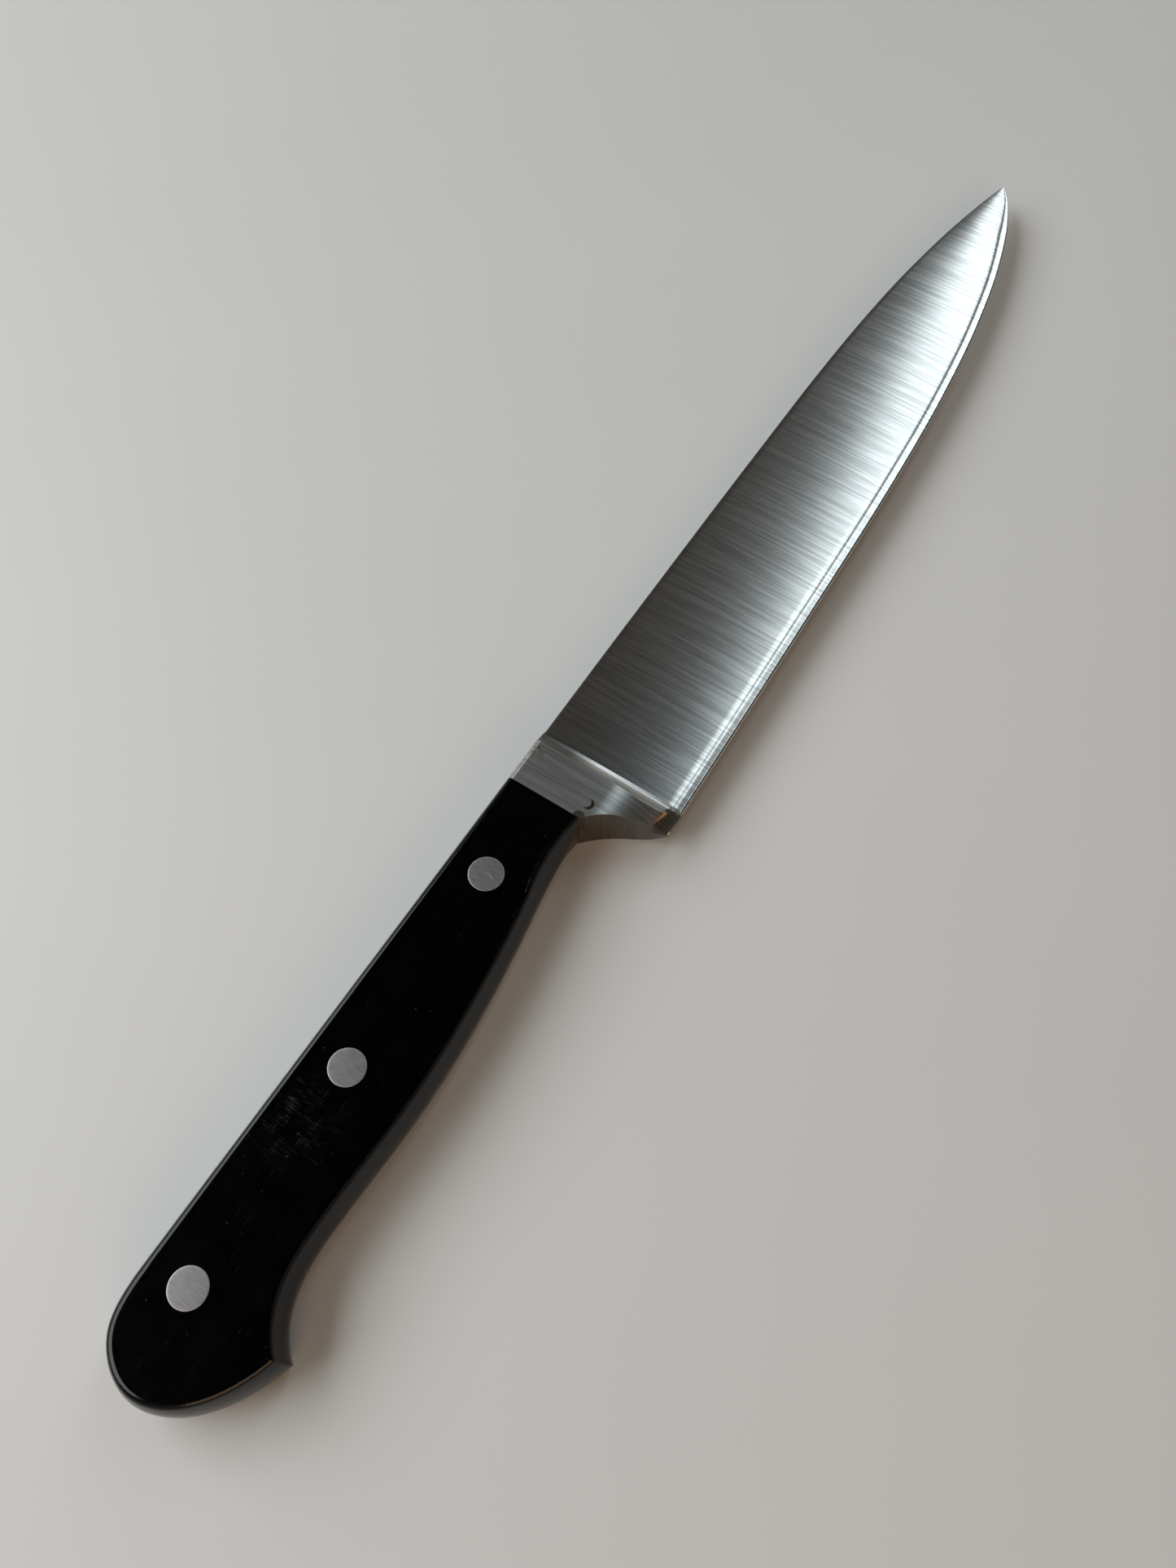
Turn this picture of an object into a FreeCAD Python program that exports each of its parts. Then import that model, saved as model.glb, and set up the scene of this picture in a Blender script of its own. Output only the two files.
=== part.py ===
"""Forged kitchen knife with a full bolster and a black three-rivet handle.

The knife lies on its side: +X runs from the butt to the tip, +Y from the edge to the
spine and +Z up. Lengths are in millimetres. Each sub-part is drawn in a working frame
with x = 0 at the joint between the handle and the bolster, y = 0 at the spine and
z = 0 in the middle of the thickness. Every solid is then moved so that the origin is
under the middle of the whole knife, on the surface that it lies on.
"""
import FreeCAD, Part
import math
import os

Vector = FreeCAD.Vector

# Driving dimensions
blade_length = 200.0        # heel to tip
heel_x = 8.2                # heel, ahead of the handle joint
heel_depth = 31.45          # spine to cutting edge at the heel
spine_thickness = 2.6       # at the heel
tip_thickness = 1.1         # where the point begins
edge_thickness = 0.2
blade_crown = 0.13          # bulge of each face of the blade
land_height = 2.4           # ground land along the cutting edge
land_thickness = 1.04       # where the land begins
bevel_height = 0.3          # last bevel to the edge
bevel_thickness = 0.76      # where the bevel begins
bolster_length = 9.5        # along the flat of the bolster
bolster_radius = 4.6        # hollow between the bolster and the blade
joint_depth = 16.85         # spine to the belly corner of the scales at the joint
handle_length = 117.0
handle_thickness = 12.0     # bolster and handle are ground flush
tang_thickness = 3.0
edge_round = 1.2            # rounding around the flat faces of the scales
rivet_head = 6.75
rivet_head_thickness = 1.6
rivet_tube = 4.2
rivet_shank = 2.6
rivet_places = [(-18.25, -8.8), (-59.2, -9.15), (-99.4, -9.45)]

# Derived sizes
half_thickness = handle_thickness / 2
half_tang = tang_thickness / 2
half_edge = edge_thickness / 2
rivet_seat = half_thickness - rivet_head_thickness
tip_x = heel_x + blade_length
side_crown = 1.5            # how far the side walls lean in from the middle to the flats
foot_depth = 0.1            # the hollow ends this far under the side of the blade
foot_half_thickness = 0.32  # half the thickness that the hollow leaves at the edge
hollow_share = 0.85         # how much of the hollow the bolster reaches along
fade_depth = 12.0           # where the blade is narrower than this, it thins with its width
point_cut = 0.1             # the last section of the blade stands this far behind the tip
far = 400.0                 # longer than the knife, for cutting tools
deep = 20.0                 # further than the faces of the handle, for cutting tools

# Cutting edge and spine of the blade, heel to tip
tip_point = (tip_x, -10.2)
spine_points = [(0, -0.1), (55, -0.1), (100, -0.35), (130, -0.8), (155, -2.05),
                (175, -4.1), (193, -6.95), tip_point]
edge_points = [(heel_x, -heel_depth), (60, -30.7), (110, -29.5), (140, -27.6),
               (165, -24.5), (185, -20.35), (199, -15.6), tip_point]

# Handle seen from the flat side, where it is widest
spine_run = [(0, 0), (-50, 0), (-100, 0)]
butt_run = [(-100, 0), (-106, -0.3), (-111, -1.8), (-115, -5.6), (-117, -11.7),
            (-115.6, -17.2), (-111, -22.8), (-99.9, -28.6)]
belly_run = [(-99.9, -28.6), (-95.7, -24.6), (-90.5, -22.45), (-82, -21.75),
             (-60, -22.65), (-35, -21.25), (-17, -18.7)]
throat_run = [(-17, -18.7), (-6, -17.3), (0, -joint_depth)]


def curve_through(points, z=0.0):
    """A smooth curve through points given as (x, y)."""
    curve = Part.BSplineCurve()
    curve.interpolate([Vector(p[0], p[1], z) for p in points])
    return curve


def y_on(curve, x):
    """Height y of a left-to-right curve at x."""
    low, high = curve.FirstParameter, curve.LastParameter
    for _ in range(50):
        middle = (low + high) / 2
        if curve.value(middle).x < x:
            low = middle
        else:
            high = middle
    return curve.value(low).y


def prism(wire, z_low, z_high):
    """A solid plate from a closed wire drawn at z_low."""
    return Part.Face(wire).extrude(Vector(0, 0, z_high - z_low))


def closed_wire(edges):
    """One closed wire from edges in any order."""
    return Part.Wire(Part.__sortEdges__(edges))


def mirrored(shape):
    """The same shape on the other side of the middle plane."""
    return shape.mirror(Vector(0, 0, 0), Vector(0, 0, 1))


# Blade, bolster and tang: one forging

def blade_section(spine, edge, x):
    """Cross-section of the blade at x, a slim wedge with crowned sides."""
    top, bottom = y_on(spine, x), y_on(edge, x)
    height = top - bottom
    along = (x - heel_x) / blade_length
    back = (spine_thickness + (tip_thickness - spine_thickness) * along) / 2
    fade = min(1.0, height / fade_depth)
    back *= fade
    land_y, land_z = bottom + land_height * fade, land_thickness / 2 * fade
    bevel_y, bevel_z = bottom + bevel_height * fade, bevel_thickness / 2 * fade
    crown_y, crown_z = (top + land_y) / 2, (back + land_z) / 2 + blade_crown * fade

    def half(sign):
        side = [Vector(x, top, sign * back), Vector(x, land_y, sign * land_z),
                Vector(x, bevel_y, sign * bevel_z), Vector(x, bottom, sign * half_edge * fade)]
        crowned = Part.Arc(side[0], Vector(x, crown_y, sign * crown_z), side[1]).toShape()
        return side, [crowned, Part.makeLine(side[1], side[2]),
                      Part.makeLine(side[2], side[3])]

    upper, upper_edges = half(1)
    lower, lower_edges = half(-1)
    edge_flat = Part.makeLine(upper[-1], lower[-1])
    back_flat = Part.makeLine(lower[0], upper[0])
    return Part.Wire(upper_edges + [edge_flat] + lower_edges[::-1] + [back_flat])


def make_blade():
    """Blade from just inside the bolster to the tip."""
    spine, edge = curve_through(spine_points), curve_through(edge_points)
    stations = [heel_x, 35, 65, 95, 120, 142, 160, 175, 187, 196, 202, 205.8,
                tip_x - point_cut]
    sections = [blade_section(spine, edge, x) for x in stations]
    return Part.makeLoft(sections, True, False)


def bolster_profile():
    """Face of the bolster across its width, in the plane of the joint."""
    t = half_thickness
    flat_end, bevel_y, bevel_z = -18.0, -28.8, 2.9

    def half(sign):
        back = Part.BSplineCurve()
        back.interpolate([Vector(0, 0, 0), Vector(0, -side_crown / 4, sign * t / 2),
                          Vector(0, -side_crown, sign * t)])
        fall = Part.BSplineCurve()
        fall.interpolate([Vector(0, flat_end, sign * t), Vector(0, -22.5, sign * 5.35),
                          Vector(0, -26.0, sign * 4.15), Vector(0, bevel_y, sign * bevel_z)])
        return [back.toShape(),
                Part.makeLine(Vector(0, -side_crown, sign * t), Vector(0, flat_end, sign * t)),
                fall.toShape(),
                Part.makeLine(Vector(0, bevel_y, sign * bevel_z),
                              Vector(0, -heel_depth, sign * half_edge))]

    edge = Part.makeLine(Vector(0, -heel_depth, half_edge), Vector(0, -heel_depth, -half_edge))
    return closed_wire(half(1) + half(-1) + [edge])


def back_edges(solid, t):
    """Long edges where the spine wall meets the flats of the bolster."""
    found = []
    for edge in solid.Edges:
        box = edge.BoundBox
        if (box.XLength > 1 and abs(box.YMin + side_crown) < 0.01
                and abs(abs(box.ZMin) - t) < 0.01):
            found.append(edge)
    return found


def make_bolster():
    """Full bolster: level with the handle, falling away to the cutting edge."""
    reach = bolster_length + hollow_share * bolster_radius
    below, above = -40.0, 5.0   # past the edge and the spine
    body = Part.Face(bolster_profile()).extrude(Vector(reach, 0, 0))
    body = body.makeFillet(edge_round, back_edges(body, half_thickness))
    corner, sweep_end = Vector(0, -joint_depth, -deep), Vector(5.3, -24.2, -deep)
    sweep = Part.Arc(corner, Vector(3.15, -20.2, -deep), sweep_end).toShape()
    rest = [(sweep_end.x, sweep_end.y), (heel_x, -heel_depth), (heel_x, below),
            (reach, below), (reach, above), (0, above), (corner.x, corner.y)]
    straight = Part.makePolygon([Vector(x, y, -deep) for x, y in rest])
    body = body.common(prism(closed_wire([sweep] + straight.Edges), -deep, deep))
    hollow = front_hollow()
    return body.cut(hollow).cut(mirrored(hollow))


def front_hollow():
    """Tool shape that leaves a hollow curve between the bolster and the blade."""
    r = bolster_radius
    x0, z0 = bolster_length, spine_thickness / 2 - foot_depth
    foot = Vector(x0 + r, 0, z0)
    waist = Vector(x0 + r * (1 - math.sqrt(0.5)), 0, z0 + r * (1 - math.sqrt(0.5)))
    top = Vector(x0, 0, z0 + r)
    arc = Part.Arc(top, waist, foot).toShape()
    block = [foot, Vector(x0 + deep, 0, z0), Vector(x0 + deep, 0, z0 + deep),
             Vector(x0, 0, z0 + deep), top]
    profile = closed_wire([arc] + Part.makePolygon(block).Edges)
    tool = Part.Face(profile).extrude(Vector(0, -3 * deep, 0))
    tool.translate(Vector(0, deep / 2, 0))
    wedge = math.degrees(math.atan((z0 - foot_half_thickness) / heel_depth))
    tool.rotate(Vector(x0, 0, z0), Vector(1, 0, 0), wedge)
    return tool


def tang_plan():
    """Outline of the tang, open at the spine and short of the belly and the butt."""
    front, back = Vector(0, 5, -deep), Vector(-108, 5, -deep)
    end, corner = Vector(-113.3, -11.5, -deep), Vector(-104, -22.3, -deep)
    belly = [(corner.x, corner.y), (-88, -18.9), (-60, -19.8), (-35, -18.3), (0, -15)]
    root = Vector(*belly[-1], -deep)
    return closed_wire([Part.makeLine(root, front), Part.makeLine(front, back),
                        Part.Arc(back, end, corner).toShape(),
                        curve_through(belly, -deep).toShape()])


def tang_slab():
    """The plan of the tang at its full thickness."""
    plate = Part.makeBox(far, far, tang_thickness, Vector(-far, -far / 2, -half_tang))
    return prism(tang_plan(), -deep, deep).common(plate)


def make_tang(handle_body, slab):
    """Flat tang that fills the middle of the handle and shows along the spine."""
    tang = handle_body.common(slab)
    for x, y in rivet_places:
        tang = tang.cut(bar(rivet_tube, x, y, -deep, deep))
    return tang


# Handle scales

def leaned(points, lean):
    """Outline points moved inwards, to the right of the way the outline runs."""
    moved = []
    for i, (x, y) in enumerate(points):
        before, after = points[max(i - 1, 0)], points[min(i + 1, len(points) - 1)]
        dx, dy = after[0] - before[0], after[1] - before[1]
        length = math.hypot(dx, dy)
        moved.append((x - dy / length * lean, y + dx / length * lean))
    return moved


def crossing(first, second):
    """Point where the last run of one outline meets the first run of the next."""
    (ax, ay), (bx, by) = first[-2], first[-1]
    (cx, cy), (dx, dy) = second[0], second[1]
    ux, uy, vx, vy = bx - ax, by - ay, dx - cx, dy - cy
    t = ((cx - ax) * vy - (cy - ay) * vx) / (ux * vy - uy * vx)
    return (ax + t * ux, ay + t * uy)


def handle_wire(lean, z):
    """Outline of the handle at height z, leaned in from its widest."""
    back, butt, belly = (leaned(run, lean) for run in (spine_run, butt_run, belly_run))
    throat = leaned(throat_run, lean)
    butt[0] = back[-1]
    beak = crossing(butt, belly)
    butt[-1] = beak
    belly[0] = beak
    belly[-1] = throat[0]
    throat[-1] = throat_run[-1]
    runs = [curve_through(run, z).toShape() for run in (back, butt, belly, throat)]
    front = Part.makeLine(Vector(*throat[-1], z), Vector(*back[0], z))
    return Part.Wire(runs + [front])


def make_handle_half():
    """Upper half of the handle, with crowned side walls and a flat top."""
    t = half_thickness
    levels = [(0.0, 0.0), (side_crown / 4, t / 2), (side_crown, t)]
    half = Part.makeLoft([handle_wire(lean, z) for lean, z in levels], True, False)
    rim = [edge for edge in half.Edges
           if edge.BoundBox.ZMin > t - 0.01 and edge.BoundBox.XLength > 0.5]
    return half.makeFillet(edge_round, rim)


def bar(diameter, x, y, z_low, z_high):
    """A round bar along z."""
    return Part.makeCylinder(diameter / 2, z_high - z_low, Vector(x, y, z_low))


def make_scale(half, slab):
    """Upper scale: hollowed for the tang, closed round it at belly and butt."""
    scale = half.cut(slab)
    for x, y in rivet_places:
        scale = scale.cut(bar(rivet_tube, x, y, -deep, deep))
        scale = scale.cut(bar(rivet_head, x, y, rivet_seat, deep))
    return scale


# Cutler's rivets: a tubed half from above and a solid half from below

def make_rivet_tube(x, y):
    """Upper rivet half: a flush head with a tube down to the lower head."""
    head = bar(rivet_head, x, y, rivet_seat, half_thickness)
    tube = bar(rivet_tube, x, y, -rivet_seat, rivet_seat)
    return head.fuse(tube).cut(bar(rivet_shank, x, y, -rivet_seat, rivet_seat)).removeSplitter()


def make_rivet_stud(x, y):
    """Lower rivet half: a flush head with a solid shank up inside the tube."""
    head = bar(rivet_head, x, y, -half_thickness, -rivet_seat)
    return head.fuse(bar(rivet_shank, x, y, -rivet_seat, rivet_seat)).removeSplitter()


def export(name, shape):
    """Move a finished solid to the row's origin and write it."""
    solid = shape.Solids[0]
    solid.translate(Vector((handle_length - tip_x) / 2, heel_depth / 2, half_thickness))
    solid.exportStep("parts/" + name + ".step")
    print(name, len(shape.Solids), solid.isValid(), round(solid.Volume, 1), solid.BoundBox)


def main():
    os.makedirs("parts", exist_ok=True)
    half = make_handle_half()
    handle_body = half.fuse(mirrored(half)).removeSplitter()
    slab = tang_slab()
    forging = make_blade().fuse(make_bolster()).fuse(make_tang(handle_body, slab))
    export("blade", forging.removeSplitter())
    scale = make_scale(half, slab)
    export("scale_upper", scale)
    export("scale_lower", mirrored(scale))
    for place, (x, y) in zip(("front", "middle", "rear"), rivet_places):
        export("rivet_tube_" + place, make_rivet_tube(x, y))
        export("rivet_stud_" + place, make_rivet_stud(x, y))


main()
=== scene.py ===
"""Looks of a forged kitchen knife with a full bolster and a black three-rivet handle.

The knife lies on its side: +X runs from the butt to the tip, +Y from the edge to the
spine and +Z up. Lengths are in metres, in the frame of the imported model. Shapes and
finishes use working places in millimetres: x from the handle joint, y from the spine
and z from the middle of the thickness.
"""
import math

import bmesh
import bpy
from mathutils import Euler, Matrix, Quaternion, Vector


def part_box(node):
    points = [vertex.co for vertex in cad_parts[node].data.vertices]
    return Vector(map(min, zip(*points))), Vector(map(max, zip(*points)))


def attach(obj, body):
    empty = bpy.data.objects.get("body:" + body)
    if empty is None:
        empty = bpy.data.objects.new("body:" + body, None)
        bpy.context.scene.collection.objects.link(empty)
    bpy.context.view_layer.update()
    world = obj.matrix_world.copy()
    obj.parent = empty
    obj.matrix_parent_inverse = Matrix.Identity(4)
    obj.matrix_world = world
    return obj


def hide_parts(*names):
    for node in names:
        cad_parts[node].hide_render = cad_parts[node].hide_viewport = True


bl_info = {
    "name": "Kitchen knife",
    "version": (1, 0, 0),
    "blender": (4, 5, 0),
    "location": "3D View > Sidebar > Knife",
    "description": "Builds the visible pieces, finishes and studio of a kitchen knife",
    "category": "Object",
}

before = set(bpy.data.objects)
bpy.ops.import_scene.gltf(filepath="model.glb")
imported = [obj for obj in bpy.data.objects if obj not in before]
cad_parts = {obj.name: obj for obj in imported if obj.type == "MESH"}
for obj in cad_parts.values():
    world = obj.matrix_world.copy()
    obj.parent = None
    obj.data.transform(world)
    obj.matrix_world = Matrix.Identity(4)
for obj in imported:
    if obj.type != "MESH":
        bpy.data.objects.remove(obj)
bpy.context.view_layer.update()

MM = 0.001
RIVET_PLACES = ("front", "middle", "rear")
RIVET_SEGMENTS = 97

_, blade_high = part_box("blade")
_, scale_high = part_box("scale_upper")
rivet_low, rivet_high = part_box("rivet_tube_front")
joint_x = scale_high.x
spine_y = blade_high.y
middle_z = scale_high.z / 2

# Sizes of the knife in working places

BLADE_LENGTH = 200.0
BLADE_DEPTH = 31.45
HEEL_X = 8.2
# outlines of the blade, as (mm from the heel, mm below the top of the spine)
SPINE_LINE = ((0, 0.1), (46.8, 0.1), (91.8, 0.35), (121.8, 0.8), (146.8, 2.05), (166.8, 4.1),
              (184.8, 6.95), (200, 10.2))
EDGE_LINE = ((0, 31.45), (51.8, 30.7), (101.8, 29.5), (131.8, 27.6), (156.8, 24.5),
             (176.8, 20.35), (190.8, 15.6), (200, 10.2))
SPINE_ROUND = 0.3
POINT_FADE = 12.0  # below this height the blade thins towards its point
POINT_CROWDING = 1.5  # power that brings the stations closer together at the point

JOINT_DEPTH = 16.85
BOLSTER_LENGTH = 9.5
BOLSTER_REACH = 13.4
HOLLOW_RADIUS = 4.6
HOLLOW_FLOOR = 1.2
HALF_THICKNESS = 6.0
WALL_LEAN = 1.5
WALL_TOP = 5.28  # where the leaning spine wall meets its rounded edge
EDGE_ROUND = 1.2
BREAK_WIDTH = 0.06  # of the broken edges of the bolster
OUTSIDE = 40.0  # reach of the cutting tools, past the bolster on every side

WELD = 0.002 * MM  # in metres: points closer than this are one


# Node trees

class Bench:
    """A node tree in the making, with short calls for adding nodes."""

    def __init__(self, tree):
        self.tree = tree

    def feed(self, socket, value):
        """Link an input socket to another socket, or set it to a value."""
        if isinstance(value, bpy.types.NodeSocket):
            self.tree.links.new(value, socket)
        else:
            socket.default_value = value

    def add(self, kind, inputs=None, **settings):
        """A new node; inputs maps a socket's name or number to a value or a socket."""
        node = self.tree.nodes.new(kind)
        for name, value in settings.items():
            setattr(node, name, value)
        for key, value in (inputs or {}).items():
            self.feed(node.inputs[key], value)
        return node

    def math(self, operation, *values):
        return self.add("ShaderNodeMath", dict(enumerate(values)), operation=operation).outputs[0]

    def plus(self, total, *others):
        for value in others:
            total = self.math("ADD", total, value)
        return total

    def minus(self, first, second):
        return self.math("SUBTRACT", first, second)

    def times(self, product, *others):
        for value in others:
            product = self.math("MULTIPLY", product, value)
        return product

    def largest(self, first, second):
        return self.math("MAXIMUM", first, second)

    def ramp(self, value, low, high, start=0.0, end=1.0, smooth=False):
        """Value between low and high, brought to the range from start to end."""
        node = self.add("ShaderNodeMapRange",
                        {"Value": value, "From Min": low, "From Max": high,
                         "To Min": start, "To Max": end})
        if smooth:
            node.interpolation_type = "SMOOTHSTEP"
        return node.outputs[0]

    def tint(self, amount, first, second):
        """Colour between two colours."""
        node = self.add("ShaderNodeMix", data_type="RGBA")
        for name, value in (("Factor_Float", amount), ("A_Color", first), ("B_Color", second)):
            self.feed(next(s for s in node.inputs if s.identifier == name), value)
        return next(s for s in node.outputs if s.identifier == "Result_Color")


class Finish(Bench):
    """A material in the making, with its working places as x, y and z."""

    def __init__(self, name):
        self.material = bpy.data.materials.new(name)
        self.material.use_nodes = True
        super().__init__(self.material.node_tree)
        self.tree.nodes.clear()
        place = self.add("ShaderNodeTexCoord").outputs["Object"]
        self.place = self.add("ShaderNodeMapping",
                              {"Vector": place, "Scale": (1 / MM,) * 3}).outputs[0]
        x, y, z = self.add("ShaderNodeSeparateXYZ", {0: self.place}).outputs
        self.x = self.minus(x, joint_x / MM)
        self.y = self.minus(y, spine_y / MM)
        self.z = self.minus(z, middle_z / MM)
        self.surface = self.add("ShaderNodeBsdfPrincipled")
        self.add("ShaderNodeOutputMaterial", {"Surface": self.surface.outputs[0]})

    def set(self, **inputs):
        """Sockets of the surface, by name with underscores for spaces."""
        for name, value in inputs.items():
            self.feed(self.surface.inputs[name.replace("_", " ")], value)

    def grain(self, repeats, detail=2.0, turn=0.0, shift=0.0):
        """Noise with its repeats per millimetre on each axis, turned in the plan."""
        place = self.add("ShaderNodeMapping",
                         {"Vector": self.place, "Location": (shift, shift, shift),
                          "Rotation": (0.0, 0.0, turn), "Scale": repeats}).outputs[0]
        return self.add("ShaderNodeTexNoise",
                        {"Vector": place, "Scale": 1.0, "Detail": detail,
                         "Roughness": 0.6}).outputs["Fac"]

    def walls(self):
        """One on upright faces, nought on level ones."""
        normal = self.add("ShaderNodeNewGeometry").outputs["Normal"]
        up = self.add("ShaderNodeSeparateXYZ", {0: normal}).outputs[2]
        return self.ramp(self.math("ABSOLUTE", up), 0.2, 0.6, 1.0, 0.0)

    def disc(self, x, y, radius, core=0.8):
        """One in the core of a round spot of the plan, falling to nought at its radius."""
        dx, dy = self.minus(self.x, x), self.minus(self.y, y)
        reach = self.math("SQRT", self.plus(self.times(dx, dx), self.times(dy, dy)))
        return self.ramp(reach, radius * core, radius, 1.0, 0.0)

    def streak(self, x0, y0, x1, y1, half_width):
        """One on a straight line of the plan, nought beside it and past its ends."""
        length = math.hypot(x1 - x0, y1 - y0)
        ux, uy = (x1 - x0) / length, (y1 - y0) / length
        dx, dy = self.minus(self.x, x0), self.minus(self.y, y0)
        along = self.plus(self.times(dx, ux), self.times(dy, uy))
        aside = self.math("ABSOLUTE", self.minus(self.times(dy, ux), self.times(dx, uy)))
        return self.times(self.ramp(along, 0.0, half_width),
                          self.ramp(along, length - half_width, length, 1.0, 0.0),
                          self.ramp(aside, half_width * 0.5, half_width, 1.0, 0.0))

    def bump(self, height, strength, depth):
        """Normals from a height, whose full depth is in millimetres."""
        return self.add("ShaderNodeBump", {"Height": height, "Strength": strength,
                                           "Distance": depth * MM}).outputs[0]


# Finishes

# painted shade: brown of the shaded floor laid on the bolster's upright walls as if reflected
WALL_PAINTED_SHADE = (0.08, 0.058, 0.042, 1.0)
# painted shade: darkens the hollow's reflection near the spine
HOLLOW_PAINTED_SHADE = (0.1, 0.098, 0.09, 1.0)
# painted shade: the heel bevel darkened as if reflecting the shaded floor
HEEL_PAINTED_SHADE = (0.05, 0.034, 0.022, 1.0)
# painted glint: an orange reflection along the edge of the heel bevel
GLINT_ORANGE = (0.9, 0.45, 0.22, 1.0)
PIT_BROWN = (0.10, 0.05, 0.03, 1.0)
RUST = (0.16, 0.07, 0.035, 1.0)
JOINT_BROWN = (0.12, 0.06, 0.035, 1.0)
SCRATCH_GREY = (0.016, 0.018, 0.024, 1.0)
# marks and painted light on the upper side: round ones as x, y and radius, the painted glint line
# as its two ends
PIT_OUTER, PIT_INNER = (3.3, -16.72, 1.25), (3.4, -16.07, 1.2)
RUST_SPOT = (6.6, -2.32, 2.4)
JOINT_CORNER = (0.2, -16.52, 1.3)
WORN_PATCH = (-70.4, -7.72, 11.0)
GLINT_LINE, GLINT_HALF_WIDTH = (7.6, -28.22, 11.4, -29.12), 0.34
# where the painted shade on the heel bevel begins and how far it fades
HEEL_SHADE_Y, HEEL_SHADE_FADE = -28.12, 0.8
RIM_START = 3.28  # from the centre of a rivet head


def shaded(colour, share):
    """A colour made darker or lighter."""
    return tuple(min(1.0, part * share) for part in colour[:3]) + (1.0,)


def brushed(f, base, roughness):
    """Steel brushed from spine to edge on a finish; returns its colour for marks on top."""
    fine = f.grain((1.7, 0.06, 0.03), detail=0.0)
    hair = f.grain((3.2, 0.1, 0.03), detail=0.0, shift=9.0)
    smears = f.grain((0.05, 0.06, 0.04), shift=21.0)
    brush = f.plus(f.times(fine, 0.6), f.times(hair, 0.4))
    f.set(Metallic=1.0,
          Roughness=f.plus(f.ramp(brush, 0.35, 0.65, roughness + 0.002, roughness - 0.002),
                           f.ramp(smears, 0.35, 0.7, -0.003, 0.005)),
          Normal=f.bump(fine, 0.008, 0.01))
    return f.tint(f.ramp(brush, 0.35, 0.65), shaded(base, 0.68), base)


def steel_finish(name, base):
    """Satin steel of the blade."""
    f = Finish(name)
    f.set(Base_Color=brushed(f, base, roughness=0.2))
    return f.material


def bolster_finish(name, base):
    """The blade's steel on the bolster, with a pit and rust specks, painted shade on its walls,
    hollow and heel bevel, and a painted orange glint.
    """
    f = Finish(name)
    colour = brushed(f, base, roughness=0.3)
    upper = f.ramp(f.z, 0.0, 0.2)
    # painted shade in the hollow, strongest towards the spine
    hollow = f.times(f.ramp(f.x, 8.6, 9.6), f.ramp(f.z, 5.2, 5.8, 1.0, 0.0),
                     f.ramp(f.y, -12.72, -6.72))
    wobble = f.ramp(f.grain((0.9, 0.9, 0.9), detail=3.0, shift=4.0), 0.3, 0.7, -0.5, 0.5)
    # painted shade on the bevel at the heel, with a wobbly border
    heel = f.times(upper, f.ramp(f.plus(f.y, wobble), HEEL_SHADE_Y, HEEL_SHADE_Y - HEEL_SHADE_FADE),
                   f.ramp(f.plus(f.x, wobble), BOLSTER_REACH, BOLSTER_REACH - HEEL_SHADE_FADE))
    # painted orange glint along the edge of the heel bevel
    line = f.times(upper, f.streak(*GLINT_LINE, GLINT_HALF_WIDTH))
    crescent = f.minus(f.disc(*PIT_OUTER), f.disc(*PIT_INNER))
    pit = f.times(upper, f.largest(crescent, 0.0))
    specks = f.ramp(f.grain((2.2, 2.2, 2.2), detail=1.0, shift=13.0), 0.62, 0.68)
    rust = f.times(specks, f.disc(*RUST_SPOT))
    corner = f.times(upper, f.disc(*JOINT_CORNER))
    # the walls mask lays painted shade on the upright walls of the bolster
    marks = ((hollow, 0.8, HOLLOW_PAINTED_SHADE), (f.walls(), 0.8, WALL_PAINTED_SHADE),
             (heel, 0.92, HEEL_PAINTED_SHADE), (line, 0.9, GLINT_ORANGE), (pit, 1.0, PIT_BROWN),
             (rust, 1.0, RUST), (corner, 0.8, JOINT_BROWN))
    for mark, strength, tone in marks:
        colour = f.tint(f.times(mark, strength), colour, tone)
    f.set(Base_Color=colour)
    return f.material


def black_finish(name, base):
    """Glossy black plastic with hairline scratches and dust, duller on its walls."""
    f = Finish(name)
    wander = f.grain((0.2, 0.2, 0.2), shift=3.0)
    hairs = f.grain((0.22, 5.0, 1.0), turn=0.4, shift=5.0)
    cross = f.grain((5.0, 0.3, 1.0), turn=0.25, shift=15.0)
    patch = f.grain((0.25, 0.25, 0.25), shift=30.0)
    worn = f.times(f.ramp(patch, 0.4, 0.6), f.disc(*WORN_PATCH, core=0.3))
    lines = f.largest(f.ramp(hairs, 0.67, 0.73), f.times(f.ramp(cross, 0.5, 0.75), worn))
    dust = f.ramp(f.grain((1.3, 1.3, 1.3), detail=1.0, shift=40.0), 0.78, 0.82)
    marks = f.largest(f.times(lines, f.plus(worn, 0.35)), dust)
    f.set(IOR=1.36, Base_Color=f.tint(marks, base, SCRATCH_GREY),
          Roughness=f.plus(f.ramp(wander, 0.3, 0.7, 0.1, 0.16), f.times(f.walls(), 0.08),
                           f.times(marks, 0.3)),
          Normal=f.bump(wander, 0.1, 0.1))
    return f.material


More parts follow.
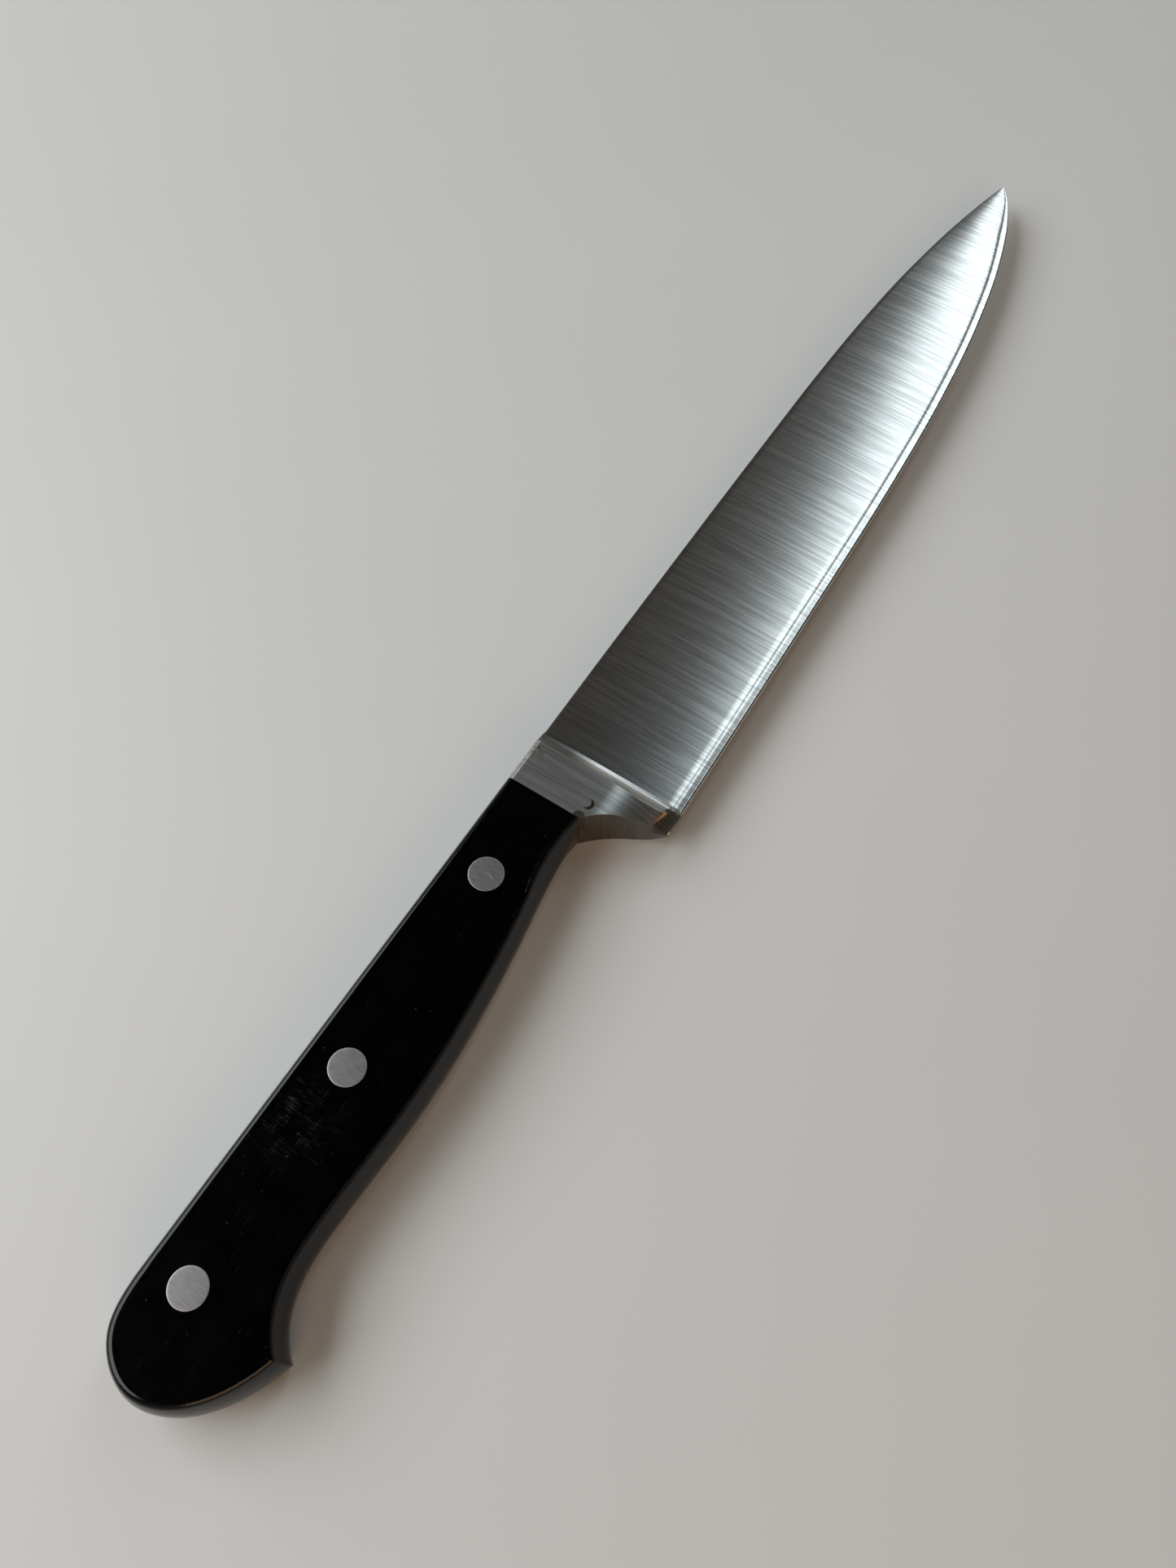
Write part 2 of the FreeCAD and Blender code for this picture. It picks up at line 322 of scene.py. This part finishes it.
def rivet_finish(name, base, centres):
    """Warm grey rivet metal with fine scratches and a brighter rim round each head."""
    f = Finish(name)
    lines = f.grain((4.0, 0.5, 1.0), detail=4.0, turn=0.7)
    inside = 0.0
    for x, y in centres:
        inside = f.largest(inside, f.disc(x, y, RIM_START, core=0.9))
    rim = f.minus(0.5, f.times(inside, 0.5))
    x, y = centres[0]
    scratch = f.streak(x + 0.3, y - 0.1, x - 0.2, y - 1.6, 0.1)
    metal = f.tint(f.ramp(lines, 0.35, 0.65), shaded(base, 0.8), base)
    f.set(Base_Color=f.tint(f.largest(rim, scratch), metal, shaded(base, 1.7)), Metallic=1.0,
          Roughness=f.ramp(lines, 0.3, 0.7, 0.4, 0.48), Normal=f.bump(lines, 0.2, 0.02))
    return f.material


def floor_finish(name, base):
    """Pale painted table top."""
    f = Finish(name)
    cloud = f.grain((0.01, 0.01, 0.01), detail=4.0)
    f.set(Base_Color=f.tint(cloud, shaded(base, 0.95), base), Roughness=0.5)
    return f.material


# Shapes

def row_place(x, y, z=0.0):
    """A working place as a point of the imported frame, in metres."""
    return (joint_x + x * MM, spine_y + y * MM, middle_z + z * MM)


def link(name, data):
    made = bpy.data.objects.new(name, data)
    bpy.context.collection.objects.link(made)
    return made


def settled(source, name):
    """A plain mesh object made from an object with its modifiers, which then goes."""
    evaluated = source.evaluated_get(bpy.context.evaluated_depsgraph_get())
    mesh = bpy.data.meshes.new_from_object(evaluated)
    bpy.data.objects.remove(source)
    mesh.name = name
    return link(name, mesh)


def grown(name, base, tree, **sizes):
    """The plain mesh that a geometry node tree makes from a base mesh and its sizes."""
    source = link(name + "_source", base)
    modifier = source.modifiers.new(name, "NODES")
    modifier.node_group = tree
    for item in tree.interface.items_tree:
        if item.in_out == "INPUT" and item.name in sizes:
            modifier[item.identifier] = sizes[item.name]
    return settled(source, name)


def shape_tree(name, sizes):
    """A geometry node tree with a geometry input and named inputs for its sizes."""
    tree = bpy.data.node_groups.new(name, "GeometryNodeTree")
    tree.interface.new_socket("Geometry", in_out="INPUT", socket_type="NodeSocketGeometry")
    for label, kind in sizes.items():
        tree.interface.new_socket(label, in_out="INPUT", socket_type="NodeSocket" + kind)
    tree.interface.new_socket("Geometry", in_out="OUTPUT", socket_type="NodeSocketGeometry")
    bench = Bench(tree)
    return bench, bench.add("NodeGroupInput").outputs


def numbered_grid(bench, columns, rows):
    """A flat grid, each point's column and row as numbers, and the last column's number."""
    grid = bench.add("GeometryNodeMeshGrid", {"Size X": 1.0, "Size Y": 1.0,
                                              "Vertices X": columns, "Vertices Y": rows})
    spot = bench.add("GeometryNodeInputPosition").outputs[0]
    place = bench.add("ShaderNodeSeparateXYZ", {0: spot}).outputs
    last_column = bench.minus(columns, 1.0)
    column = bench.math("ROUND", bench.times(bench.plus(place[0], 0.5), last_column))
    row = bench.math("ROUND", bench.times(bench.plus(place[1], 0.5), rows - 1.0))
    return grid.outputs[0], column, row, last_column


def placed(bench, grid, x, y, z):
    """The grid with its points moved to new places."""
    spot = bench.add("ShaderNodeCombineXYZ", {0: x, 1: y, 2: z}).outputs[0]
    return bench.add("GeometryNodeSetPosition", {"Geometry": grid, "Position": spot}).outputs[0]


def welded(bench, geometry):
    return bench.add("GeometryNodeMergeByDistance",
                     {"Geometry": geometry, "Distance": WELD}).outputs[0]


def flipped(bench, mesh):
    return bench.add("GeometryNodeFlipFaces", {"Mesh": mesh}).outputs[0]


def finish_shape(bench, geometry, material):
    """End of a shape tree: smooth, realised and with its material."""
    smooth = bench.add("GeometryNodeSetShadeSmooth", {"Geometry": geometry}).outputs[0]
    real = bench.add("GeometryNodeRealizeInstances", {"Geometry": smooth}).outputs[0]
    dressed = bench.add("GeometryNodeSetMaterial", {"Geometry": real, "Material": material})
    bench.add("NodeGroupOutput", {"Geometry": dressed.outputs[0]})


def outline(bench, along, points):
    """Distance below the top of the spine on an outline of the blade, in metres."""
    node = bench.add("ShaderNodeFloatCurve", {"Value": along})
    curve = node.mapping.curves[0]
    places = [(x / BLADE_LENGTH, y / BLADE_DEPTH) for x, y in points]
    curve.points[0].location, curve.points[1].location = places[0], places[-1]
    for place in places[1:-1]:
        curve.points.new(*place)
    node.mapping.update()
    return bench.times(node.outputs[0], BLADE_DEPTH * MM)


def blade_tree():
    """A ground blade: a crowned wedge between the spine line and the edge line."""
    bench, size = shape_tree("ground_blade", {
        "Spine Thickness": "Float", "Point Thickness": "Float", "Edge Thickness": "Float",
        "Crown": "Float", "Land Height": "Float", "Land Thickness": "Float",
        "Stations": "Int", "Material": "Material"})
    plus, minus, times, ramp = bench.plus, bench.minus, bench.times, bench.ramp
    # the rows go from the middle of the spine round its edge, down the crowned face,
    # over the steps of the land and to the middle of the cutting edge
    flat_end, round_end, face_end, land_end, edge_middle = 1.0, 6.0, 31.0, 41.0, 42.0
    steps = (  # first row, last row, share of the land's height, of the land's thickness
        (face_end, 34.0, 0.29, 0.21), (34.0, 38.0, 0.63, 0.12), (38.0, land_end, 0.08, None))
    grid, column, row, last = numbered_grid(bench, size["Stations"], int(edge_middle) + 1)

    even = ramp(column, 1.0, last)
    along = minus(1.0, bench.math("POWER", minus(1.0, even), POINT_CROWDING))
    top = outline(bench, along, SPINE_LINE)
    height = minus(outline(bench, along, EDGE_LINE), top)
    fade = ramp(height, 0.0, POINT_FADE * MM)
    spine_round = SPINE_ROUND * MM

    back = times(ramp(along, 0.0, 1.0, size["Spine Thickness"], size["Point Thickness"]), 0.5)
    land = times(size["Land Thickness"], 0.5)
    edge = times(size["Edge Thickness"], 0.5)
    turn = ramp(row, flat_end, round_end, 0.0, math.pi / 2)
    across = ramp(row, round_end, face_end)
    bulge = times(times(across, minus(1.0, across)), times(size["Crown"], 4.0))
    face_height = minus(height, times(plus(size["Land Height"], spine_round), fade))
    down = times(face_height, across)
    low = times(minus(1.0, bench.math("COSINE", turn)), spine_round)
    out = times(ramp(row, 0.0, flat_end), minus(back, spine_round))
    out = plus(out, times(bench.math("SINE", turn), spine_round))
    out = plus(out, plus(bulge, times(across, minus(land, back))))
    kept = 1.0
    for first, final, fall, share in steps:
        part = ramp(row, first, final)
        low = plus(low, times(part, times(size["Land Height"], fall)))
        if share is None:
            thinner = minus(times(land, kept), edge)
        else:
            thinner = times(land, share)
            kept -= share
        out = minus(out, times(part, thinner))
    out = minus(out, times(ramp(row, land_end, edge_middle), edge))

    x = plus(times(along, BLADE_LENGTH * MM), row_place(HEEL_X, 0)[0])
    y = minus(spine_y, plus(top, plus(down, times(low, fade))))
    z = times(times(out, fade), ramp(column, 0.0, 1.0))
    upper = placed(bench, grid, x, y, z)
    lower = bench.add("GeometryNodeTransform",
                      {"Geometry": upper, "Scale": (1.0, 1.0, -1.0)}).outputs[0]
    both = bench.add("GeometryNodeJoinGeometry")
    for half in (flipped(bench, upper), lower):
        bench.tree.links.new(half, both.inputs[0])
    raised = bench.add("GeometryNodeTransform",
                       {"Geometry": welded(bench, both.outputs[0]),
                        "Translation": (0.0, 0.0, middle_z)}).outputs[0]
    finish_shape(bench, raised, size["Material"])
    return bench.tree


def turned_head_tree():
    """Rivet heads, turned to a shallow dome with a rounded rim, on each point."""
    bench, size = shape_tree("rivet_heads", {
        "Diameter": "Float", "Thickness": "Float", "Dome": "Float", "Rim": "Float",
        "Segments": "Int", "Material": "Material"})
    plus, minus, times, ramp = bench.plus, bench.minus, bench.times, bench.ramp
    # the rows go from the middle of the dome over the rim and down the wall to the
    # middle of the underside
    dome_end, rim_end, wall_end, under_middle = 12.0, 17.0, 19.0, 20.0
    grid, column, row, last = numbered_grid(bench, size["Segments"], int(under_middle) + 1)
    angle = times(bench.math("DIVIDE", column, last), 2 * math.pi)
    inner = minus(times(size["Diameter"], 0.5), size["Rim"])
    out = ramp(row, 0.0, dome_end)
    turn = ramp(row, dome_end, rim_end, 0.0, math.pi / 2)
    reach = plus(times(out, inner), times(bench.math("SINE", turn), size["Rim"]))
    reach = times(reach, ramp(row, wall_end, under_middle, 1.0, 0.0))
    dish = times(bench.math("POWER", out, 2.0), size["Dome"])
    fall = times(minus(1.0, bench.math("COSINE", turn)), size["Rim"])
    wall = times(ramp(row, rim_end, wall_end), size["Thickness"])
    z = times(plus(dish, plus(fall, wall)), -1.0)
    head = placed(bench, grid, times(bench.math("COSINE", angle), reach),
                  times(bench.math("SINE", angle), reach), z)
    head = flipped(bench, welded(bench, head))
    under = bench.add("GeometryNodeInputNamedAttribute", {"Name": "under"}, data_type="FLOAT")
    turned_over = bench.add("ShaderNodeCombineXYZ", {0: times(under.outputs[0], math.pi)})
    heads = bench.add("GeometryNodeInstanceOnPoints",
                      {"Points": size["Geometry"], "Instance": head,
                       "Rotation": turned_over.outputs[0]}).outputs[0]
    finish_shape(bench, heads, size["Material"])
    return bench.tree


def extruded(name, points, axis, low, high):
    """A closed prism of a plan drawn across an axis, from working places."""
    def corner(a, b, c):
        return row_place(*{"x": (c, a, b), "y": (a, c, b), "z": (a, b, c)}[axis])

    count = len(points)
    places = [corner(a, b, c) for c in (low, high) for a, b in points]
    faces = [tuple(range(count))[::-1], tuple(range(count, 2 * count))]
    faces += [(i, (i + 1) % count, (i + 1) % count + count, i + count) for i in range(count)]
    mesh = bpy.data.meshes.new(name)
    mesh.from_pydata(places, [], faces)
    bench = bmesh.new()
    bench.from_mesh(mesh)
    bmesh.ops.recalc_face_normals(bench, faces=bench.faces)
    bench.to_mesh(mesh)
    bench.free()
    return link(name, mesh)


def cut(body, tools, operation):
    for tool in tools:
        modifier = body.modifiers.new("cut", "BOOLEAN")
        modifier.operation, modifier.solver, modifier.object = operation, "EXACT", tool


def arc_between(first, middle, last, steps):
    """Points of the arc through three points, both ends included."""
    (ax, ay), (bx, by), (cx, cy) = first, middle, last
    d = 2 * (ax * (by - cy) + bx * (cy - ay) + cx * (ay - by))
    a2, b2, c2 = ax * ax + ay * ay, bx * bx + by * by, cx * cx + cy * cy
    ux = (a2 * (by - cy) + b2 * (cy - ay) + c2 * (ay - by)) / d
    uy = (a2 * (cx - bx) + b2 * (ax - cx) + c2 * (bx - ax)) / d
    radius = math.hypot(ax - ux, ay - uy)
    start, end = math.atan2(ay - uy, ax - ux), math.atan2(cy - uy, cx - ux)
    way = math.remainder(end - start, 2 * math.pi)
    return [(ux + radius * math.cos(start + way * i / steps),
             uy + radius * math.sin(start + way * i / steps)) for i in range(steps + 1)]


def back_wall(steps):
    """Upper half of the barrel-shaped spine wall and its rounded edge, as (y, z)."""
    def lean_at(z):
        return -WALL_LEAN * (z / HALF_THICKNESS) ** 2

    levels = [WALL_TOP * i / steps for i in range(steps)]
    slope = math.atan(2 * WALL_LEAN * WALL_TOP / HALF_THICKNESS ** 2)
    centre_y = lean_at(WALL_TOP) - EDGE_ROUND * math.cos(slope)
    centre_z = HALF_THICKNESS - EDGE_ROUND
    turns = [slope + (math.pi / 2 - slope) * i / steps for i in range(steps + 1)]
    return [(lean_at(z), z) for z in levels] + [
        (centre_y + EDGE_ROUND * math.cos(t), centre_z + EDGE_ROUND * math.sin(t))
        for t in turns]


def bolster_section():
    """Closed section of the bolster: level with the scales, falling to the edge."""
    flat_end, bevel_y, edge_z = -18.0, -28.8, 0.1
    fall_drop, fall_run, fall_power = 0.65, 4.5, 1.79
    steps = 20
    fall = []
    for i in range(steps + 1):
        below = (flat_end - bevel_y) * i / steps
        fall.append((flat_end - below,
                     HALF_THICKNESS - fall_drop * (below / fall_run) ** fall_power))
    half = back_wall(8) + fall + [(-BLADE_DEPTH, edge_z)]
    return half + [(y, -z) for y, z in half[::-1][:-1]]


def bolster_plan():
    """Plan that the bolster is cut to: the sweep from the joint corner to the heel."""
    sweep = arc_between((0, -JOINT_DEPTH), (3.15, -20.2), (5.3, -24.2), 24)
    return sweep + [(HEEL_X, -BLADE_DEPTH), (HEEL_X, -OUTSIDE), (OUTSIDE, -OUTSIDE),
                    (OUTSIDE, OUTSIDE), (0, OUTSIDE)]


def hollow_section(side):
    """Section of the tool that hollows the bolster's front down to the blade."""
    steps = 28
    turns = [math.pi / 2 * i / steps for i in range(steps + 1)]
    curve = [(BOLSTER_LENGTH + HOLLOW_RADIUS * (1 - math.cos(t)),
              HOLLOW_FLOOR + HOLLOW_RADIUS * (1 - math.sin(t))) for t in turns]
    corners = [(OUTSIDE, HOLLOW_FLOOR), (OUTSIDE, OUTSIDE), (BOLSTER_LENGTH, OUTSIDE)]
    return [(x, side * z) for x, z in curve + corners]


# What a user would change

class KnifeSizes(bpy.types.PropertyGroup):
    """Sizes of the visible pieces."""
    spine_thickness: bpy.props.FloatProperty(
        name="Spine thickness", description="Thickness of the spine at the heel",
        unit="LENGTH", precision=5, default=2.6 * MM)
    point_thickness: bpy.props.FloatProperty(
        name="Point thickness", description="Thickness of the spine near the point",
        unit="LENGTH", precision=5, default=1.1 * MM)
    edge_thickness: bpy.props.FloatProperty(
        name="Edge thickness", description="Thickness of the cutting edge",
        unit="LENGTH", precision=5, default=0.12 * MM)
    crown: bpy.props.FloatProperty(
        name="Crown", description="How far each face of the blade bulges",
        unit="LENGTH", precision=5, default=0.2 * MM)
    land_height: bpy.props.FloatProperty(
        name="Land height", description="Height of the sharpened land along the edge",
        unit="LENGTH", precision=5, default=2.4 * MM)
    land_thickness: bpy.props.FloatProperty(
        name="Land thickness", description="Thickness of the blade where the land begins",
        unit="LENGTH", precision=5, default=1.04 * MM)
    stations: bpy.props.IntProperty(
        name="Stations", description="Sections along the blade", min=20, default=220)
    rivet_gap: bpy.props.FloatProperty(
        name="Rivet gap", description="How much wider the seats are than the heads",
        unit="LENGTH", precision=5, default=0.04 * MM)
    rivet_thickness: bpy.props.FloatProperty(
        name="Rivet thickness", description="Thickness of a rivet head",
        unit="LENGTH", precision=5, default=1.5 * MM)
    rivet_dome: bpy.props.FloatProperty(
        name="Rivet dome", description="Height of the dome of a rivet head",
        unit="LENGTH", precision=5, default=0.03 * MM)
    rivet_rim: bpy.props.FloatProperty(
        name="Rivet rim", description="Radius of the rim of a rivet head",
        unit="LENGTH", precision=5, default=0.12 * MM)


class KnifeFinishes(bpy.types.PropertyGroup):
    """Colours of the knife's materials."""
    steel: bpy.props.FloatVectorProperty(
        name="Steel", description="Colour of the blade and bolster", subtype="COLOR",
        size=4, min=0.0, max=1.0, default=(0.62, 0.61, 0.59, 1.0))
    scale: bpy.props.FloatVectorProperty(
        name="Scales", description="Colour of the handle scales", subtype="COLOR",
        size=4, min=0.0, max=1.0, default=(0.0005, 0.0005, 0.0006, 1.0))
    rivet: bpy.props.FloatVectorProperty(
        name="Rivets", description="Colour of the rivets", subtype="COLOR",
        size=4, min=0.0, max=1.0, default=(0.27, 0.255, 0.25, 1.0))


class KnifeStudio(bpy.types.PropertyGroup):
    """Camera, floor and lights."""
    camera_place: bpy.props.FloatVectorProperty(
        name="Camera place", description="Where the camera is", subtype="TRANSLATION",
        unit="LENGTH", size=3, default=(-0.12116, -0.05047, 0.2118))
    camera_turn: bpy.props.FloatVectorProperty(
        name="Camera turn", description="How the camera is turned", subtype="EULER",
        unit="ROTATION", size=3,
        default=(math.radians(25.934), math.radians(-0.287), math.radians(-57.239)))
    focal_length: bpy.props.FloatProperty(
        name="Focal length", description="Lens for a 36 mm long side, in millimetres",
        unit="CAMERA", default=27.44)
    floor_colour: bpy.props.FloatVectorProperty(
        name="Floor", description="Colour of the floor", subtype="COLOR",
        size=4, min=0.0, max=1.0, default=(0.62, 0.62, 0.60, 1.0))


# Steps that build the pieces

def paint(node, material):
    """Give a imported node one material."""
    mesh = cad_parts[node].data
    for index in range(len(mesh.materials)):
        mesh.materials[index] = material


def dress(piece, material):
    """Give a finished piece its material and its body."""
    piece.data.materials.clear()
    piece.data.materials.append(material)
    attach(piece, "root")


def soften(piece, angle):
    """Shade smooth, with edges sharper than the angle, in degrees, kept crisp."""
    piece.data.shade_smooth()
    piece.data.set_sharp_from_angle(angle=math.radians(angle))


class KNIFE_OT_blade(bpy.types.Operator):
    """Make the ground blade"""
    bl_idname = "knife.blade"
    bl_label = "Blade"

    def execute(self, context):
        sizes = context.scene.knife_sizes
        steel = steel_finish("satin_steel", context.scene.knife_finishes.steel[:])
        blade = grown("blade_plate", bpy.data.meshes.new("blade_seed"), blade_tree(), **{
            "Spine Thickness": sizes.spine_thickness, "Point Thickness": sizes.point_thickness,
            "Edge Thickness": sizes.edge_thickness, "Crown": sizes.crown,
            "Land Height": sizes.land_height, "Land Thickness": sizes.land_thickness,
            "Stations": sizes.stations, "Material": steel})
        dress(blade, steel)
        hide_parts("blade")
        return {"FINISHED"}


class KNIFE_OT_bolster(bpy.types.Operator):
    """Make the bolster, cut to its sweep and hollowed towards the blade"""
    bl_idname = "knife.bolster"
    bl_label = "Bolster"

    def execute(self, context):
        body = extruded("bolster_body", bolster_section(), "x", 0.0, BOLSTER_REACH)
        plan = extruded("bolster_plan", bolster_plan(), "z", -OUTSIDE, OUTSIDE)
        hollows = [extruded("hollow", hollow_section(side), "y", -2 * OUTSIDE, OUTSIDE)
                   for side in (1, -1)]
        cut(body, [plan], "INTERSECT")
        cut(body, hollows, "DIFFERENCE")
        bevel = body.modifiers.new("bevel", "BEVEL")
        bevel.limit_method, bevel.angle_limit = "ANGLE", math.radians(35)
        bevel.width, bevel.segments = BREAK_WIDTH * MM, 1
        bolster = settled(body, "bolster")
        for tool in [plan, *hollows]:
            bpy.data.objects.remove(tool)
        soften(bolster, angle=24)
        steel = context.scene.knife_finishes.steel[:]
        dress(bolster, bolster_finish("bolster_steel", steel))
        return {"FINISHED"}


class KNIFE_OT_tang(bpy.types.Operator):
    """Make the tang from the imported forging, cut off behind the bolster"""
    bl_idname = "knife.tang"
    bl_label = "Tang"

    def execute(self, context):
        bench = bmesh.new()
        bench.from_mesh(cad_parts["blade"].data)
        bmesh.ops.remove_doubles(bench, verts=bench.verts, dist=WELD)
        everything = bench.verts[:] + bench.edges[:] + bench.faces[:]
        behind_joint = row_place(-0.01, 0)
        rim = bmesh.ops.bisect_plane(bench, geom=everything, plane_co=behind_joint,
                                     plane_no=(1, 0, 0), clear_outer=True)["geom_cut"]
        bmesh.ops.holes_fill(bench, edges=[e for e in rim if isinstance(e, bmesh.types.BMEdge)])
        mesh = bpy.data.meshes.new("tang")
        bench.to_mesh(mesh)
        bench.free()
        tang = link("tang", mesh)
        soften(tang, angle=5)
        dress(tang, bpy.data.materials["satin_steel"])
        return {"FINISHED"}


class KNIFE_OT_scales(bpy.types.Operator):
    """Finish the two handle scales"""
    bl_idname = "knife.scales"
    bl_label = "Scales"

    def execute(self, context):
        black = black_finish("gloss_black", context.scene.knife_finishes.scale[:])
        for node in ("scale_upper", "scale_lower"):
            paint(node, black)
        return {"FINISHED"}


class KNIFE_OT_rivets(bpy.types.Operator):
    """Make the six rivet heads"""
    bl_idname = "knife.rivets"
    bl_label = "Rivets"

    def execute(self, context):
        sizes = context.scene.knife_sizes
        nodes = [kind + place for kind in ("rivet_tube_", "rivet_stud_") for place in RIVET_PLACES]
        places = []
        for node in nodes:
            low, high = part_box(node)
            face = high.z if "tube" in node else low.z
            places.append(((low.x + high.x) / 2, (low.y + high.y) / 2, face))
        seats = bpy.data.meshes.new("rivet_seats")
        seats.from_pydata(places, [], [])
        under = seats.attributes.new("under", "FLOAT", "POINT")
        under.data.foreach_set("value", [float("stud" in node) for node in nodes])
        centres = [((x - joint_x) / MM, (y - spine_y) / MM)
                   for x, y, _ in places[:len(RIVET_PLACES)]]
        metal = rivet_finish("rivet_metal_finish", context.scene.knife_finishes.rivet[:], centres)
        rivets = grown("rivets", seats, turned_head_tree(), **{
            "Diameter": rivet_high.x - rivet_low.x - sizes.rivet_gap,
            "Thickness": sizes.rivet_thickness, "Dome": sizes.rivet_dome, "Rim": sizes.rivet_rim,
            "Segments": RIVET_SEGMENTS, "Material": metal})
        dress(rivets, metal)
        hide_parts(*nodes)
        return {"FINISHED"}


# Studio

FLOOR_HALF = 2.0
# name, size in metres, power in watts, colour, azimuth, elevation, distance, roll
PANELS = (
    ("window", (1.5, 0.85), 17.0, (0.92, 0.96, 1.0), 118.0, 40.0, 1.2, 0.0),
    ("bright_pane", (0.24, 1.35), 3.0, (0.82, 0.94, 1.0), 2.4, 47.5, 1.6, 12.0),
    ("warm_fill", (1.0, 0.8), 5.5, (1.0, 0.62, 0.36), -140.0, 32.0, 1.6, 0.0))
ROOM_PALE = (0.27, 0.26, 0.24, 1.0)
ROOM_DIM = (0.043, 0.036, 0.028, 1.0)
ROOM_OVERHEAD = (0.005, 0.005, 0.005, 1.0)
BACKDROP = (0.5, 0.5, 0.48, 1.0)


def area_light(name, size, power, colour, azimuth, elevation, distance, roll):
    """A soft panel that faces the knife from a direction, with its angles in degrees."""
    data = bpy.data.lights.new(name, "AREA")
    data.shape, data.size, data.size_y = "RECTANGLE", *size
    data.energy, data.color = power, colour
    panel = link(name, data)
    a, e = math.radians(azimuth), math.radians(elevation)
    panel.location = (distance * math.cos(a) * math.cos(e),
                      distance * math.sin(a) * math.cos(e), distance * math.sin(e))
    facing = Euler((math.pi / 2 - e, 0.0, a + math.pi / 2)).to_quaternion()
    panel.rotation_euler = (facing @ Quaternion((0.0, 0.0, 1.0), math.radians(roll))).to_euler()


def room_air():
    """A room that is dark overhead, and pale low down and behind the camera."""
    world = bpy.data.worlds.new("studio_air")
    world.use_nodes = True
    world.node_tree.nodes.clear()
    bench = Bench(world.node_tree)
    way = bench.add("ShaderNodeTexCoord").outputs["Generated"]
    x, y, z = bench.add("ShaderNodeSeparateXYZ", {0: way}).outputs
    behind = bench.plus(bench.times(x, -0.6), bench.times(y, -0.8))
    wall = bench.times(bench.ramp(behind, 0.1, 0.6, smooth=True),
                       bench.ramp(z, 0.6, 0.85, 1.0, 0.0, smooth=True))
    skirt = bench.ramp(z, 0.3, 0.55, 1.0, 0.0, smooth=True)
    dim = bench.tint(bench.ramp(z, 0.84, 0.95, smooth=True), ROOM_DIM, ROOM_OVERHEAD)
    room = bench.tint(bench.largest(wall, skirt), dim, ROOM_PALE)
    seen = bench.add("ShaderNodeLightPath").outputs["Is Camera Ray"]
    air = bench.add("ShaderNodeBackground",
                    {"Color": bench.tint(seen, room, BACKDROP), "Strength": 1.0})
    bench.add("ShaderNodeOutputWorld", {"Surface": air.outputs[0]})
    return world


class KNIFE_OT_studio(bpy.types.Operator):
    """Add the floor, the lights and the camera"""
    bl_idname = "knife.studio"
    bl_label = "Studio"

    def execute(self, context):
        studio = context.scene.knife_studio
        corners = [(x * FLOOR_HALF, y * FLOOR_HALF, 0.0)
                   for x, y in ((-1, -1), (1, -1), (1, 1), (-1, 1))]
        mesh = bpy.data.meshes.new("floor")
        mesh.from_pydata(corners, [], [(0, 1, 2, 3)])
        mesh.materials.append(floor_finish("floor_paint", studio.floor_colour[:]))
        link("floor", mesh)

        for panel in PANELS:
            area_light(*panel)
        context.scene.world = room_air()
        context.scene.view_settings.view_transform = "Standard"

        data = bpy.data.cameras.new("camera")
        data.sensor_width = 36.0
        data.lens = studio.focal_length
        data.clip_start, data.clip_end = 0.01, 50.0
        camera = link("camera", data)
        camera.location = studio.camera_place
        camera.rotation_euler = studio.camera_turn
        context.scene.camera = camera
        return {"FINISHED"}


STEPS = (KNIFE_OT_blade, KNIFE_OT_bolster, KNIFE_OT_tang, KNIFE_OT_scales, KNIFE_OT_rivets,
         KNIFE_OT_studio)


class KNIFE_PT_panel(bpy.types.Panel):
    """Lists the steps that build the knife"""
    bl_idname = "KNIFE_PT_panel"
    bl_label = "Kitchen knife"
    bl_space_type = "VIEW_3D"
    bl_region_type = "UI"
    bl_category = "Knife"

    def draw(self, context):
        scene = context.scene
        for group in (scene.knife_sizes, scene.knife_finishes, scene.knife_studio):
            for name in group.__annotations__:
                self.layout.prop(group, name)
        for step in STEPS:
            self.layout.operator(step.bl_idname)


CLASSES = (KnifeSizes, KnifeFinishes, KnifeStudio, *STEPS, KNIFE_PT_panel)


def register():
    for made in CLASSES:
        bpy.utils.register_class(made)
    bpy.types.Scene.knife_sizes = bpy.props.PointerProperty(type=KnifeSizes)
    bpy.types.Scene.knife_finishes = bpy.props.PointerProperty(type=KnifeFinishes)
    bpy.types.Scene.knife_studio = bpy.props.PointerProperty(type=KnifeStudio)


def unregister():
    del bpy.types.Scene.knife_studio
    del bpy.types.Scene.knife_finishes
    del bpy.types.Scene.knife_sizes
    for made in reversed(CLASSES):
        bpy.utils.unregister_class(made)


def main():
    register()
    for step in STEPS:
        getattr(bpy.ops.knife, step.bl_idname.split(".")[1])()


if __name__ == "__main__":
    main()
